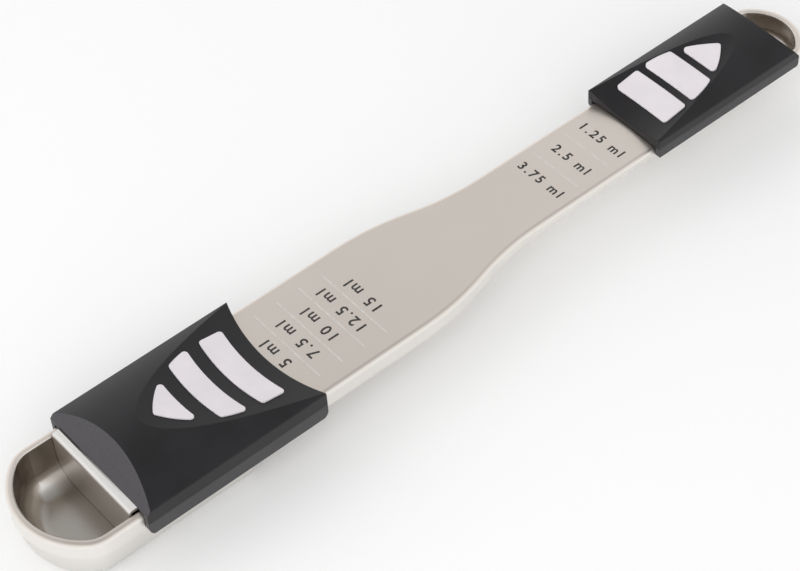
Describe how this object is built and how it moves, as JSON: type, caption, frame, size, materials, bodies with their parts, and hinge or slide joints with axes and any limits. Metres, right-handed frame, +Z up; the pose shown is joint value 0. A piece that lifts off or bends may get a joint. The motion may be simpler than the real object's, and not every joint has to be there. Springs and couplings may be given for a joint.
{
  "type": "adjustable measuring spoon",
  "caption": "Double-ended measuring spoon: a flat handle with a trough-shaped bowl at each end, and sliders whose gates close the bowls at the wanted measure.",
  "frame": {"origin": "middle of the spoon's length and width, on the surface that the large bowl's foot stands on", "axes": "+X along the spoon from the large bowl to the small bowl, +Z up out of the handle's flat top, +Y across the handle"},
  "size_m": [0.24, 0.0378, 0.0206],
  "materials": {
    "satin_metal": "satin, warm grey",
    "black_plastic": "fine matte grain",
    "gate_steel": "satin",
    "screw_steel": "plain",
    "spring_steel": "plain",
    "white_rubber": "matte, soft"
  },
  "bodies": {
    "spoon": {"spoon_body": "satin_metal"},
    "large_slider": {"large_slider_cover": "black_plastic", "large_left_rail": "black_plastic", "large_right_rail": "black_plastic", "large_gate": "gate_steel", "large_gate_screw": "screw_steel", "large_tip_grip_pad": "white_rubber", "large_middle_grip_pad": "white_rubber", "large_rear_grip_pad": "white_rubber", "large_friction_spring": "spring_steel"},
    "small_slider": {"small_slider_cover": "black_plastic", "small_left_rail": "black_plastic", "small_right_rail": "black_plastic", "small_gate": "gate_steel", "small_gate_screw": "screw_steel", "small_tip_grip_pad": "white_rubber", "small_middle_grip_pad": "white_rubber", "small_rear_grip_pad": "white_rubber", "small_friction_spring": "spring_steel"}
  },
  "joints": [
    {"name": "large_slide", "type": "slide", "parent": "spoon", "child": "large_slider", "axis": [1, 0, 0], "range_m": [-0.0011, 0.0258]},
    {"name": "small_slide", "type": "slide", "parent": "spoon", "child": "small_slider", "axis": [-1, 0, 0], "range_m": [0, 0.0253]}
  ]
}
